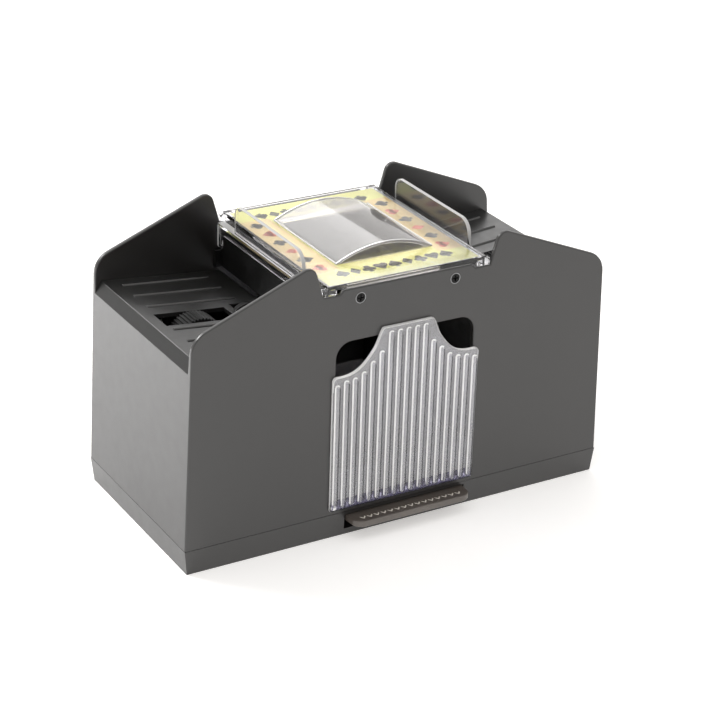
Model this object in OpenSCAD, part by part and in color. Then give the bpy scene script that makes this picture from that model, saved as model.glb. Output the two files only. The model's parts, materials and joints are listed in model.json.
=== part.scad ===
// Two-sided card shuffler. Cards from both trays are fed into a central drawer by rubber wheels.
// Origin: centre of the base footprint. +X runs along the trays, the drawer opens towards -Y, +Z is up.

/* [Body] */
// Length of the body at the seam between base and housing
body_l = 217.5; // [216.5:0.5:220]
// Depth of the body, front face to back face
body_w = 100; // [100:0.5:102]
// Height of the seam between base and housing
base_h = 11.9; // [11.7:0.1:12.1]
// Thickness of the housing walls
wall = 2.4; // [2.2:0.1:2.4]
// Inward lean of the end walls, degrees from vertical
end_draft = 2.05; // [1.8:0.05:2.2]
// Height of the front and back walls between the wings
mid_top = 121.2; // [121:0.1:121.2]
// Height of the outer corner of each wing
wing_low = 111.8; // [110:0.2:113]
// Slope of the top edge of each wing, degrees
wing_slope = 22.1; // [21:0.1:23]
// Lean of the inner edge of each wing, degrees from vertical
wing_lean = 15.1; // [14:0.1:16]
// Height of the notch that each cover tab sits in
notch_z = 119; // [118.8:0.1:119]

/* [Trays] */
// Slope of the card platform, degrees
tray_slope = 5.3; // [5:0.1:5.4]
// Thickness of the card platform
tray_t = 2; // [1.8:0.1:2]
// Height of the platform at its outer edge
tray_z = 101.2; // [101.1:0.1:101.4]
// Height of the ribs on the platform
rib_h = 0.7; // [0.4:0.1:0.8]

/* [Drawer] */
// Half width of the drawer opening
opening_x = 35.4; // [35.4:0.1:35.8]
// Height of the top of the drawer opening
opening_top = 96.1; // [95:0.1:97]
// Number of ribs on the drawer front
front_ribs = 17; // [11:2:21]
// Height of the finger tab on the drawer front
tab_top = 100; // [99:0.5:103]

/* [Cover] */
// Thickness of the cover plate
cover_t = 2.2; // [2:0.1:2.4]
// Rise of the vaulted window above the plate
dome_rise = 6.5; // [5:0.5:8]
// Height of the top edge of the fins
fin_top = 133.5; // [130:0.5:134]

/* [Press bar] */
// Half width of the press bar
bar_x = 30.8; // [30:0.1:30.8]
// Offset of the press bar from the middle of the body
bar_shift = 2.8; // [0:0.1:2.8]
// Distance from the origin to the front edge of the press bar
bar_reach = 59; // [57:0.5:61]
// Thickness of the press bar
bar_t = 3; // [2.6:0.1:3]

/* [Wheels] */
// Radius of the feed wheel over its tyre
feed_r = 12.8; // [12.4:0.1:12.8]
// Radius of the exit roller
exit_r = 8.5; // [8.2:0.1:8.5]
// Number of ridges round a feed tyre
tyre_ridges = 40; // [30:2:48]

/* [Batteries] */
// Diameter of one cell
cell_d = 26.2; // [25:0.1:26.2]
// Length of one cell over its button
cell_l = 50; // [49:0.5:50]

/* [Hidden] */
$fn = 64;

// Colours
dark_abs = [0.25, 0.24, 0.23];
black_abs = [0.09, 0.09, 0.09];
clear_ps = [0.80, 0.82, 0.85, 0.45];
label_yellow = [0.98, 0.93, 0.62];
rubber_black = [0.06, 0.06, 0.06];
steel_grey = [0.62, 0.63, 0.65];
nylon_white = [0.90, 0.89, 0.84];
brass_gold = [0.78, 0.62, 0.28];

// Gaps: between shells that meet, and between pieces that slide past each other
seam_gap = 0.2;
slide_gap = 0.3;
eps = 1;

// Body
half_w = body_w / 2;
inner_y = half_w - wall;
seam_z = base_h + seam_gap;
notch_x = 42.67;
mid_x = 32.4;
strip_z = 95.7;
strip_x = 102.5;
notch_slant = 2.1;
notch_r = 0.8;
ramp_r = 0.5;
end_corner_r = 11;
apex_r = 4.5;
opening_z = 14.6;
opening_r = [1, 7.5];
base_inset = [1.24, 0.79];
base_wall = 2.2;
base_floor = 2.4;

// Trays
tray_in = 43;
feed_x = 80;
exit_x = 51.5;
wheel_proud = 1;
tray_rib_x = 53;
tray_rib_l = 43;
tray_rib_r = 1;
feed_slot = [62.5, 97, -9, 4.5];
exit_slot = [44.2, 58.8, -10, 7];
tray_rib_pitch = 13.3;
rib_ys = [for (i = [1:3]) each [-tray_rib_pitch * i, tray_rib_pitch * i]];

// Chute and gates
chute_in = 36.4;
chute_t = 1.6;
deck_z = 12.6;
gate_x = 40.6;
gate_t = 2;
gate_foot = 98;
gate_top = 114.5;
bar_y = 45.6;
post_x = 46;
post_top = 106.5;
bar_top = mid_top - 2.7;
screw_x = 24.15;
screw_z = 116;

// Cover
cover_z = mid_top + slide_gap;
cover_top = cover_z + cover_t;
cover_x = 40.4;
cover_y = half_w - 0.5;
window = [24, 28];
rail_z = 119.4;

// Drive: shaft centres as [x, z], gears as teeth and module
gear_m = 0.6;
wheel_m = 0.5;
feed_teeth = 28;
exit_teeth = 14;
small_teeth = 32;
large_teeth = 50;
pinion_teeth = 10;
function platform_z(x) = tray_z - (strip_x - x) * tan(tray_slope);
feed_c = [feed_x, platform_z(feed_x) + wheel_proud - feed_r];
exit_c = [exit_x, platform_z(exit_x) + wheel_proud - exit_r];
feed_arm = gear_m * (feed_teeth + small_teeth) / 2;
exit_arm = gear_m * (exit_teeth + small_teeth) / 2;
span = norm(exit_c - feed_c);
span_dir = (exit_c - feed_c) / span;
along = (feed_arm ^ 2 - exit_arm ^ 2 + span ^ 2) / (2 * span);
below = sqrt(feed_arm ^ 2 - along ^ 2);
idler_c = feed_c + along * span_dir + below * [-span_dir.y, span_dir.x];
motor_c = idler_c - [0, wheel_m * (large_teeth + pinion_teeth) / 2];
shaft_r = 1.5;
running = 0.05;
motor_shaft_r = 1;
motor_r = 12;
front_plate = [-20, -18];
rear_plate = [12, 14];
small_band = [15.4, 18.8];
large_band = [18.8, 21.6];
wheel_band = [-7.2, 2.8];
roller_band = [-8.8, 5.8];

// Press bar
pivot = [-22, 8.5];
bar_z = 7;
slot_x = bar_x + 1;
slot_z = [2.9, bar_z + bar_t + slide_gap];
spring_x = 20;
spring_y = -36;
switch_y = -30.5;

// Batteries
tub_x = [44.4, 103.2];
tub_y = 29.6;
tub_top = 31;
tub_t = 1.6;
cell_y = 14.2;
cell_z = 16.4;
nub = [3.75, 1.5];
door_z = [0.3, 2];
door_top = door_z[1] + seam_gap;
door_ear = [37, 5];
door_screw_x = 39.6;

// Screws
boss = [100.5, 43.8];
boss_r = 4;
shank_r = 1.4;
head_r = 2.6;
head_h = 1.3;
screw_play = 0.2;
head_gap = 0.1;

// ---- Shapes ----------------------------------------------------------------

function unit(v) = v / norm(v);
function turned(v, a) = [v.x * cos(a) - v.y * sin(a), v.x * sin(a) + v.y * cos(a)];

// Arc that rounds corner b = [x, y, radius] between its neighbours a and c
function corner(a, b, c, steps = 8) =
    let (p = [b.x, b.y], u = unit([a.x, a.y] - p), v = unit([c.x, c.y] - p), r = b[2])
    r == 0 ? [p] :
    let (
        half = acos(u * v) / 2,
        centre = p + unit(u + v) * r / sin(half),
        first = p + u * r / tan(half) - centre,
        last = p + v * r / tan(half) - centre,
        sweep = atan2(cross(first, last), first * last)
    )
    [for (i = [0:steps]) centre + turned(first, sweep * i / steps)];

// Outline through corners [x, y, radius]
function rounded(c) =
    let (n = len(c))
    [for (i = [0:n - 1]) each corner(c[(i + n - 1) % n], c[i], c[(i + 1) % n])];

// Corners of the right half, followed by their mirror image
function both_halves(half) =
    concat(half, [for (i = [len(half) - 1:-1:0]) [-half[i].x, half[i].y, half[i][2]]]);

// X of the outer face of the end wall at height z
function end_x(z) = body_l / 2 - (z - base_h) * tan(end_draft);

// Drawn in X and Z, reaching from y0 to y1
module across(y0, y1) {
    translate([0, y1, 0]) rotate([90, 0, 0]) linear_extrude(y1 - y0) children();
}

// Drawn in Y and Z, reaching from x0 to x1
module lengthwise(x0, x1) {
    translate([x0, 0, 0]) rotate([90, 0, 90]) linear_extrude(x1 - x0) children();
}

// Round bar along Y at c = [x, z]
module rod(c, r, y0, y1) {
    translate([c.x, y1, c.y]) rotate([90, 0, 0]) cylinder(r = r, h = y1 - y0);
}

// Box between two corners
module block(low, high) {
    translate(low) cube(high - low);
}

// The same shape on both sides of the YZ plane
module both_sides() {
    children();
    mirror([1, 0, 0]) children();
}

// The same shape at front and back
module front_and_back() {
    children();
    mirror([0, 1, 0]) children();
}

// Right-hand shapes, moved to the left when side is -1
module on_side(side) {
    mirror([side < 0 ? 1 : 0, 0, 0]) children();
}

// ---- Gears -----------------------------------------------------------------

pressure = 20;
backlash = 0.12;

// Polar angle of an involute of base radius rb where it reaches radius r
function involute(rb, r) =
    let (t = sqrt(max(0, (r / rb) ^ 2 - 1)))
    t * 180 / PI - atan(t);

// Outline of an involute gear with a tooth pointing at angle phase
function gear_outline(teeth, m, phase) =
    let (
        rp = teeth * m / 2,
        rb = rp * cos(pressure),
        ra = rp + 0.9 * m,
        rr = rp - 1.2 * m,
        rs = max(rb, rr),
        half = 90 / teeth - backlash / 2 / rp * 180 / PI + involute(rb, rp),
        flank = [for (i = [0:3]) rs + (ra - rs) * i / 3]
    )
    [for (k = [0:teeth - 1])
        let (mid = phase + k * 360 / teeth)
        each concat(
            [rr * [cos(mid - half), sin(mid - half)]],
            [for (r = flank) r * [cos(mid - half + involute(rb, r)), sin(mid - half + involute(rb, r))]],
            [for (i = [3:-1:0]) let (r = flank[i], a = mid + half - involute(rb, r)) r * [cos(a), sin(a)]],
            [rr * [cos(mid + half), sin(mid + half)]]
        )
    ];

// Phase that puts gear b in mesh with gear a, seen from a at angle dir
function mesh_phase(dir, phase_a, teeth_a, teeth_b) =
    dir + 180 + 180 / teeth_b - (phase_a - dir) * teeth_a / teeth_b;

function angle_of(v) = atan2(v.y, v.x);
idler_phase = 0;
feed_phase = mesh_phase(angle_of(feed_c - idler_c), idler_phase, small_teeth, feed_teeth);
exit_phase = mesh_phase(angle_of(exit_c - idler_c), idler_phase, small_teeth, exit_teeth);
pinion_phase = mesh_phase(angle_of(motor_c - idler_c), idler_phase, large_teeth, pinion_teeth);

module toothed(c, teeth, m, phase, band) {
    translate([c.x, 0, c.y]) across(band[0], band[1]) polygon(gear_outline(teeth, m, phase));
}

// ---- Shells ----------------------------------------------------------------

// Front or back wall, with the wings
function wall_outline() =
    let (
        low_x = end_x(wing_low),
        rise = (wing_low - notch_z + (low_x - notch_x) * tan(wing_slope))
            / (1 + tan(wing_lean) * tan(wing_slope)),
        apex = [notch_x + rise * tan(wing_lean), notch_z + rise]
    )
    rounded(both_halves([
        [end_x(seam_z), seam_z, 0],
        [low_x, wing_low, end_corner_r],
        [apex.x, apex.y, apex_r],
        [notch_x, notch_z, notch_r],
        [mid_x + notch_slant, notch_z, ramp_r],
        [mid_x, mid_top, ramp_r]
    ]));

module opening_outline() {
    polygon(rounded(both_halves([
        [opening_x, opening_z, opening_r[0]],
        [opening_x, opening_top, opening_r[1]]
    ])));
}

// Ledge that carries the tray along the front and back walls
module tray_ledge() {
    ledge_in = 60;
    ledge_out = 96;
    ledge_w = 2;
    across(inner_y - ledge_w, inner_y + eps) polygon([
        [ledge_in, platform_z(ledge_in) - tray_t],
        [ledge_out, platform_z(ledge_out) - tray_t],
        [ledge_out, platform_z(ledge_out) - 2 * tray_t],
        [ledge_in, platform_z(ledge_in) - 2 * tray_t]
    ]);
}

module housing_boss() {
    boss_top = 40;
    translate([boss.x, boss.y, seam_z]) cylinder(r = boss_r, h = boss_top - seam_z);
}

module housing() {
    base_screw_depth = 13;
    color(dark_abs) difference() {
        union() {
            across(-half_w, -inner_y) difference() {
                polygon(wall_outline());
                opening_outline();
            }
            across(inner_y, half_w) polygon(wall_outline());
            both_sides() across(-half_w, half_w) polygon([
                [end_x(seam_z), seam_z],
                [end_x(strip_z), strip_z],
                [end_x(strip_z) - wall, strip_z],
                [end_x(seam_z) - wall, seam_z]
            ]);
            both_sides() front_and_back() {
                tray_ledge();
                housing_boss();
            }
        }
        both_sides() front_and_back() {
            translate([boss.x, boss.y, seam_z - eps]) cylinder(r = shank_r, h = base_screw_depth + eps);
            rod([screw_x, screw_z], shank_r + screw_play, inner_y - eps, half_w + eps);
            translate([screw_x, half_w, screw_z]) rotate([90, 0, 0])
                cylinder(r1 = head_r, r2 = shank_r + screw_play, h = head_h);
        }
    }
}

// Tapered block of the base, shrunk by t on every side, from z0 up to the seam
module base_block(t, z0) {
    foot_x = end_x(base_h) - base_inset.x - t;
    foot_y = half_w - base_inset.y - t;
    top_x = end_x(base_h) - t;
    top_y = half_w - t;
    intersection() {
        across(-half_w, half_w)
            polygon([[-foot_x, z0], [foot_x, z0], [top_x, base_h], [-top_x, base_h]]);
        lengthwise(-body_l / 2, body_l / 2)
            polygon([[-foot_y, z0], [foot_y, z0], [top_y, base_h], [-top_y, base_h]]);
    }
}

module pivot_ear() {
    ear_x = [31.2, 33.2];
    ear_half = 3.2;
    ear_rise = 2.8;
    lengthwise(ear_x[0], ear_x[1]) difference() {
        polygon([
            [pivot.x - ear_half, base_floor - eps],
            [pivot.x + ear_half, base_floor - eps],
            [pivot.x + ear_half, pivot.y + ear_rise],
            [pivot.x - ear_half, pivot.y + ear_rise]
        ]);
        translate(pivot) circle(r = shaft_r);
    }
}

// Tub that holds two cells, open at the bottom
module battery_tub() {
    flange = 3.4;
    flange_top = 5;
    post_r = 3.2;
    post_h = 8;
    block([tub_x[0] - tub_t, -tub_y - tub_t, door_top],
        [tub_x[1] + tub_t, tub_y + tub_t, tub_top + tub_t]);
    block([tub_x[0] - flange, -tub_y - flange, door_top], [tub_x[1] + tub_t, tub_y + flange, flange_top]);
    translate([door_screw_x, 0, door_top]) cylinder(r = post_r, h = post_h);
}

module battery_tub_cuts() {
    pilot = [1, 9];
    strap_slot = [4, 3, 21, 22];
    block([tub_x[0], -tub_y, -eps], [tub_x[1], tub_y, tub_top]);
    block([tub_x[0] - tub_t - slide_gap, -tub_y - tub_t - slide_gap, -eps],
        [tub_x[1] + tub_t + slide_gap, tub_y + tub_t + slide_gap, door_top]);
    block([door_ear[0] - slide_gap, -door_ear[1] - slide_gap, -eps],
        [tub_x[0], door_ear[1] + slide_gap, door_top]);
    translate([door_screw_x, 0, 0]) cylinder(r = pilot[0], h = pilot[1]);
    front_and_back()
        block([tub_x[0] - strap_slot[0], cell_y - strap_slot[1], strap_slot[2]],
            [tub_x[0] + eps, cell_y + strap_slot[1], strap_slot[3]]);
}

module base_shell() {
    deck_rib_ys = [2, 40];
    deck_rib_x = 34;
    boss_z = 1;
    slot_depth = 4;
    color(dark_abs) difference() {
        union() {
            difference() {
                base_block(0, 0);
                base_block(base_wall, base_floor);
                block([bar_shift - slot_x, -half_w - eps, slot_z[0]],
                    [bar_shift + slot_x, -half_w + slot_depth, slot_z[1]]);
            }
            both_sides() {
                battery_tub();
                front_and_back()
                    translate([boss.x, boss.y, boss_z]) cylinder(r = boss_r, h = base_h - boss_z);
            }
            translate([bar_shift, 0, 0]) both_sides() pivot_ear();
            for (y = deck_rib_ys)
                block([-deck_rib_x, y, base_floor - eps], [deck_rib_x, y + tub_t, deck_z]);
        }
        both_sides() {
            battery_tub_cuts();
            front_and_back() translate([boss.x, boss.y, 0]) {
                translate([0, 0, -eps]) cylinder(r = shank_r + screw_play, h = base_h + 2 * eps);
                translate([0, 0, -eps]) cylinder(r = head_r + screw_play, h = eps + head_h + boss_z);
            }
        }
    }
}

// Sloping platform with its outer chamfer, drawn for the right side
module tray(side) {
    slot_cut = 15;
    color(dark_abs) on_side(side) {
        difference() {
            across(-inner_y + 0.1, inner_y - 0.1) polygon([
                [end_x(strip_z), strip_z],
                [strip_x, tray_z],
                [tray_in, platform_z(tray_in)],
                [tray_in, platform_z(tray_in) - tray_t],
                [strip_x - 1, platform_z(strip_x - 1) - tray_t],
                [end_x(strip_z) - wall, strip_z]
            ]);
            for (s = [feed_slot, exit_slot])
                block([s[0], s[2], tray_z - slot_cut], [s[1], s[3], tray_z + slot_cut]);
        }
        for (y = rib_ys)
            translate([tray_rib_x, y, platform_z(tray_rib_x) - (tray_rib_r - rib_h)])
                rotate([0, 90 - tray_slope, 0]) cylinder(r = tray_rib_r, h = tray_rib_l, $fn = 24);
    }
}

// Gates, corner posts and the bars that join them inside the walls
module gate_frame() {
    bar_end = 38.8;
    joint_gap = 0.2;
    frame_y = inner_y - joint_gap;
    gate_half = bar_y - 0.8;
    screw_post_r = 3;
    color(black_abs) difference() {
        union() {
            both_sides() {
                lengthwise(gate_x, gate_x + gate_t) polygon(rounded(both_halves([
                    [frame_y, gate_foot, 0],
                    [frame_y, post_top, 0],
                    [gate_half, post_top, 0],
                    [gate_half, gate_top, 0]
                ])));
                front_and_back() {
                    block([gate_x, bar_y, gate_foot], [post_x, frame_y, post_top]);
                    rod([screw_x, screw_z], screw_post_r, bar_y - screw_post_r, frame_y);
                }
            }
            front_and_back() {
                block([-gate_x - eps, bar_y, gate_foot], [gate_x + eps, frame_y, post_top]);
                block([-bar_end, bar_y, gate_foot], [bar_end, frame_y, bar_top]);
            }
        }
        both_sides() front_and_back()
            rod([screw_x, screw_z], shank_r, bar_y - screw_post_r + eps, inner_y + eps);
    }
}

// Channel that guides the drawer, flared at the top to catch the cards
module card_chute() {
    flare_z = [86, 93.5];
    flare_x = 42;
    chute_y = inner_y - seam_gap;
    runner_x = [29, 31];
    runner_h = 0.5;
    color(black_abs) {
        both_sides() across(-chute_y, chute_y) polygon([
            [chute_in, deck_z],
            [chute_in + chute_t, deck_z],
            [chute_in + chute_t, flare_z[0]],
            [flare_x + chute_t, flare_z[1]],
            [flare_x, flare_z[1]],
            [chute_in, flare_z[0]]
        ]);
        block([-chute_in - eps, -chute_y, deck_z], [chute_in + eps, chute_y, deck_z + chute_t]);
        both_sides()
            block([runner_x[0], -chute_y, deck_z], [runner_x[1], chute_y, deck_z + chute_t + runner_h]);
    }
}

// ---- Drawer ----------------------------------------------------------------

front_y = [-52.1, -half_w - slide_gap];
front_x = 37.5;
front_z = 14.5;
shoulder_x = [16.3, 35.3];
shoulder_z = 80.4;
shoulder_rise = 11.6;
tab_x = 13.8;

// Height of the drawer front's top edge beside the tab, as a quarter wave from tab to shoulder
function shoulder(x) =
    let (part = (x - shoulder_x[0]) / (shoulder_x[1] - shoulder_x[0]))
    shoulder_z + shoulder_rise * (1 - sin(90 * part)) ^ 1.6;

function front_outline() =
    let (
        half = concat(
            [[front_x, front_z, 0.8], [front_x, shoulder_z, 1.5]],
            [for (i = [10:-1:0])
                let (x = shoulder_x[0] + (shoulder_x[1] - shoulder_x[0]) * i / 10) [x, shoulder(x), 0]],
            [[tab_x, tab_top, 1.6]]
        )
    )
    rounded(both_halves(half));

// Height at which the rib at x stops
function rib_top(x) =
    let (
        margin = 3,
        edge = abs(x) < tab_x ? tab_top : shoulder(min(max(abs(x), shoulder_x[0]), shoulder_x[1]))
    )
    edge - margin;

module card_drawer() {
    rib_r = 0.9;
    rib_foot = front_z + 1;
    rib_span = 71;
    rib_pitch = rib_span / (front_ribs - 1);
    back_t = 0.5;
    body_x = 35;
    side_t = 1.8;
    drawer_z = [15, 34];
    back_y = 46.4;
    color(clear_ps) {
        across(front_y[0] + rib_r - 0.1, front_y[1]) polygon(front_outline());
        for (i = [0:front_ribs - 1]) {
            x = (i - (front_ribs - 1) / 2) * rib_pitch;
            translate([x, front_y[0] + rib_r - 0.1, rib_foot])
                cylinder(r = rib_r, h = rib_top(x) - rib_foot, $fn = 24);
        }
        difference() {
            block([-body_x, front_y[1] - back_t, drawer_z[0]], [body_x, back_y, drawer_z[1]]);
            block([side_t - body_x, front_y[1], drawer_z[0] + side_t],
                [body_x - side_t, back_y - side_t, drawer_z[1] + eps]);
        }
    }
}

// ---- Cover -----------------------------------------------------------------

// Hook that hangs from the end rail, drawn in X and Z
module hook_outline() {
    hook_c = [42.5, 108.8];
    hook_r = [0.7, 1.8];
    lip = 1.2;
    difference() {
        union() {
            translate(hook_c) circle(r = hook_r[1]);
            translate([hook_c.x - hook_r[1], hook_c.y]) square([hook_r[1] - hook_r[0], lip]);
            translate([hook_c.x + hook_r[0], hook_c.y])
                square([hook_r[1] - hook_r[0], rail_z - hook_c.y - eps]);
        }
        translate(hook_c) circle(r = hook_r[0]);
        translate([hook_c.x - hook_r[0], hook_c.y]) square([2 * hook_r[0], hook_r[1] + eps]);
    }
}

module clear_cover() {
    rail_x = [39.2, 44.1];
    rail_y = inner_y - 0.4;
    rail_t = 1.6;
    skirt_t = 1.1;
    skirt_z = 115;
    skirt_y = bar_y - 0.4;
    fin_x = [41.5, 43.3];
    fin_y = 32;
    fin_r = [5, 7];
    hook_y = [45.4, rail_y];
    ear_x = [36, 42.2];
    color(clear_ps) {
        difference() {
            block([-cover_x, -cover_y, cover_z], [cover_x, cover_y, cover_top]);
            block([-window.x, -window.y, cover_z - eps], [window.x, window.y, cover_top + eps]);
        }
        both_sides() {
            block([rail_x[0], -rail_y, rail_z - rail_t], [rail_x[1], rail_y, rail_z]);
            block([rail_x[0], -rail_y, rail_z - rail_t], [cover_x, rail_y, cover_z + eps]);
            block([rail_x[1] - skirt_t, -skirt_y, skirt_z], [rail_x[1], skirt_y, rail_z]);
            lengthwise(fin_x[0], fin_x[1]) polygon(rounded([
                [-fin_y, rail_z - 0.5, 0],
                [fin_y, rail_z - 0.5, 0],
                [fin_y, fin_top, fin_r[0]],
                [-fin_y, fin_top, fin_r[1]]
            ]));
            front_and_back() {
                across(hook_y[0], hook_y[1]) hook_outline();
                block([ear_x[0], rail_y - seam_gap, rail_z], [ear_x[1], cover_y, cover_z + eps]);
            }
        }
    }
}

// Vaulted window that stands on the rim of the cover's opening
module window_dome() {
    foot = [25, 29];
    dome_t = 1.2;
    dome_r = (foot.x ^ 2 + dome_rise ^ 2) / (2 * dome_rise);
    centre_z = cover_top + dome_rise - dome_r;
    module arch(r) {
        intersection() {
            translate([0, centre_z]) circle(r = r, $fn = 128);
            translate([-foot.x, cover_top]) square([2 * foot.x, dome_rise + eps]);
        }
    }
    color(clear_ps) {
        across(-foot.y, foot.y) difference() {
            arch(dome_r);
            arch(dome_r - dome_t);
        }
        front_and_back() across(foot.y - dome_t, foot.y) arch(dome_r - dome_t / 2);
    }
}

module label_card() {
    label_t = 0.3;
    label_x = 38;
    label_y = 46.8;
    color(label_yellow) difference() {
        block([-label_x, -label_y, cover_z - label_t], [label_x, label_y, cover_z]);
        block([-window.x, -window.y, cover_z - eps], [window.x, window.y, cover_z + eps]);
    }
}

// ---- Press bar and switch --------------------------------------------------

module press_bar() {
    barrel_x = [27, 30.7];
    barrel_r = 2.7;
    back_gap = 4;
    corner_r = 5;
    color(black_abs) translate([bar_shift, 0, 0]) difference() {
        union() {
            translate([0, 0, bar_z]) linear_extrude(bar_t) polygon(rounded(both_halves([
                [bar_x, pivot.x - back_gap, 0],
                [bar_x, -bar_reach, corner_r]
            ])));
            both_sides() {
                block([barrel_x[0], pivot.x - back_gap - eps, bar_z], [barrel_x[1], pivot.x, bar_z + bar_t]);
                lengthwise(barrel_x[0], barrel_x[1]) translate(pivot) circle(r = barrel_r);
            }
        }
        lengthwise(-bar_x - eps, bar_x + eps) translate(pivot) circle(r = shaft_r + running);
    }
}

module pivot_pin() {
    pin_x = 33.2;
    color(steel_grey) lengthwise(bar_shift - pin_x, bar_shift + pin_x) translate(pivot) circle(r = shaft_r);
}

module bar_springs() {
    spring_r = [1.9, 2.6];
    color(steel_grey) translate([bar_shift, 0, 0]) both_sides()
        translate([spring_x, spring_y, base_floor]) difference() {
            cylinder(r = spring_r[1], h = bar_z - base_floor);
            translate([0, 0, -eps]) cylinder(r = spring_r[0], h = bar_z);
        }
}

module push_switch() {
    half = 3;
    well_z = base_floor + 1;
    switch_top = 5.4;
    color(black_abs) difference() {
        block([-half, switch_y - half, base_floor], [half, switch_y + half, switch_top]);
        translate([0, switch_y, well_z]) cylinder(r = shaft_r + running, h = switch_top);
    }
}

module switch_plunger() {
    plunger_z = [4.3, bar_z - slide_gap];
    color(nylon_white) translate([0, switch_y, plunger_z[0]])
        cylinder(r = shaft_r, h = plunger_z[1] - plunger_z[0]);
}

// ---- Drive -----------------------------------------------------------------

bracket_foot = tub_top + tub_t;
bracket_x = [46.5, 88];
foot_x = 82;
flare_z = 60;
foot_y = 8;
foot_t = 1.8;
tray_gap = 0.7;
mount_x = 8;
mount_r = 1;
collar_r = 3;
bush_r = 3;
flange_r = 4;
flange_t = 0.8;

function bracket_outline() = [
    [bracket_x[0], bracket_foot],
    [foot_x, bracket_foot],
    [bracket_x[1], flare_z],
    [bracket_x[1], platform_z(bracket_x[1]) - tray_t - tray_gap],
    [bracket_x[0], platform_z(bracket_x[0]) - tray_t - tray_gap]
];

// Plate that carries one end of the shafts, with a foot that reaches back along Y
module bracket(side, plate, motor_hole) {
    color(black_abs) on_side(side) difference() {
        union() {
            across(plate[0], plate[1]) polygon(bracket_outline());
            block([bracket_x[0], plate[0], bracket_foot], [foot_x, plate[1] + foot_y, bracket_foot + foot_t]);
        }
        for (c = [feed_c, exit_c]) rod(c, bush_r, plate[0] - eps, plate[1] + eps);
        if (motor_hole) {
            rod(motor_c, collar_r + 0.1, plate[0] - eps, plate[1] + eps);
            rod(idler_c, shaft_r, plate[0] - eps, plate[1] + eps);
            for (dx = [-mount_x, mount_x])
                rod(motor_c + [dx, 0], mount_r + running, plate[0] - eps, plate[1] + eps);
        }
    }
}

// Flanged bushes, two in each bracket, with their flanges facing the wheels' outer sides
module bushes(side) {
    color(brass_gold) on_side(side) for (c = [feed_c, exit_c], front = [true, false]) {
        plate = front ? front_plate : rear_plate;
        flange = front ? [plate[0] - flange_t, plate[0]] : [plate[1], plate[1] + flange_t];
        difference() {
            union() {
                rod(c, bush_r, plate[0], plate[1]);
                rod(c, flange_r, flange[0], flange[1]);
            }
            rod(c, shaft_r + running, plate[0] - eps, plate[1] + eps);
        }
    }
}

motor_y = [-15, rear_plate[0]];

// Can with two flats
module motor_can(side) {
    flat = 9.6;
    collar_l = 0.4;
    thread_l = 3;
    color(steel_grey) on_side(side) difference() {
        union() {
            intersection() {
                rod(motor_c, motor_r, motor_y[0], motor_y[1]);
                block([motor_c.x - motor_r, motor_y[0], motor_c.y - flat],
                    [motor_c.x + motor_r, motor_y[1], motor_c.y + flat]);
            }
            rod(motor_c, collar_r, motor_y[1] - eps, rear_plate[1] + collar_l);
        }
        rod(motor_c, motor_shaft_r + running, motor_y[0] - eps, rear_plate[1] + eps);
        for (dx = [-mount_x, mount_x])
            rod(motor_c + [dx, 0], mount_r, motor_y[1] - thread_l, motor_y[1] + eps);
    }
}

module motor_cap(side) {
    cap_y = [-17.6, motor_y[0]];
    flat = 9;
    cap_r = motor_r - 0.8;
    color(nylon_white) on_side(side) difference() {
        intersection() {
            rod(motor_c, cap_r, cap_y[0], cap_y[1]);
            block([motor_c.x - motor_r, cap_y[0], motor_c.y - flat],
                [motor_c.x + motor_r, cap_y[1], motor_c.y + flat]);
        }
        rod(motor_c, motor_shaft_r + running, cap_y[0] - eps, cap_y[1] + eps);
    }
}

module motor_shaft(side) {
    shaft_y = [-17.4, 22.6];
    color(steel_grey) on_side(side) rod(motor_c, motor_shaft_r, shaft_y[0], shaft_y[1]);
}

module pinion(side) {
    pinion_band = [large_band[0] - 0.3, large_band[1] + 0.4];
    color(brass_gold) on_side(side) difference() {
        toothed(motor_c, pinion_teeth, wheel_m, pinion_phase, pinion_band);
        rod(motor_c, motor_shaft_r, pinion_band[0] - eps, pinion_band[1] + eps);
    }
}

// Pin pressed into the rear bracket, with a head that keeps the compound gear on
module gear_pin(side) {
    pin_end = 22.8;
    pin_head = [2.6, large_band[1] + 0.4];
    color(steel_grey) on_side(side) {
        rod(idler_c, shaft_r, rear_plate[0], pin_end);
        rod(idler_c, pin_head[0], pin_head[1], pin_end);
    }
}

module compound_gear(side) {
    color(nylon_white) on_side(side) difference() {
        union() {
            toothed(idler_c, small_teeth, gear_m, idler_phase, small_band);
            toothed(idler_c, large_teeth, wheel_m, idler_phase, large_band);
        }
        rod(idler_c, shaft_r + running, small_band[0] - eps, large_band[1] + eps);
    }
}

// Plain steel shaft of one roller
module roller_shaft(side, c) {
    shaft_y = [front_plate[0] - 1.6, small_band[1] - 0.2];
    color(steel_grey) on_side(side) rod(c, shaft_r, shaft_y[0], shaft_y[1]);
}

// Gear pressed on a roller shaft
module roller_gear(side, c, teeth, phase) {
    gear_band = [small_band[0], small_band[1] - 0.2];
    color(nylon_white) on_side(side) difference() {
        toothed(c, teeth, gear_m, phase, gear_band);
        rod(c, shaft_r, gear_band[0] - eps, gear_band[1] + eps);
    }
}

hub_r = 9;

module wheel_hub(side) {
    hole_r = 2;
    hole_at = 5.4;
    color(nylon_white) on_side(side) difference() {
        rod(feed_c, hub_r, wheel_band[0], wheel_band[1]);
        rod(feed_c, shaft_r, wheel_band[0] - eps, wheel_band[1] + eps);
        for (a = [45:90:315])
            rod(feed_c + hole_at * [cos(a), sin(a)], hole_r, wheel_band[0] - eps, wheel_band[1] + eps);
    }
}

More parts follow.
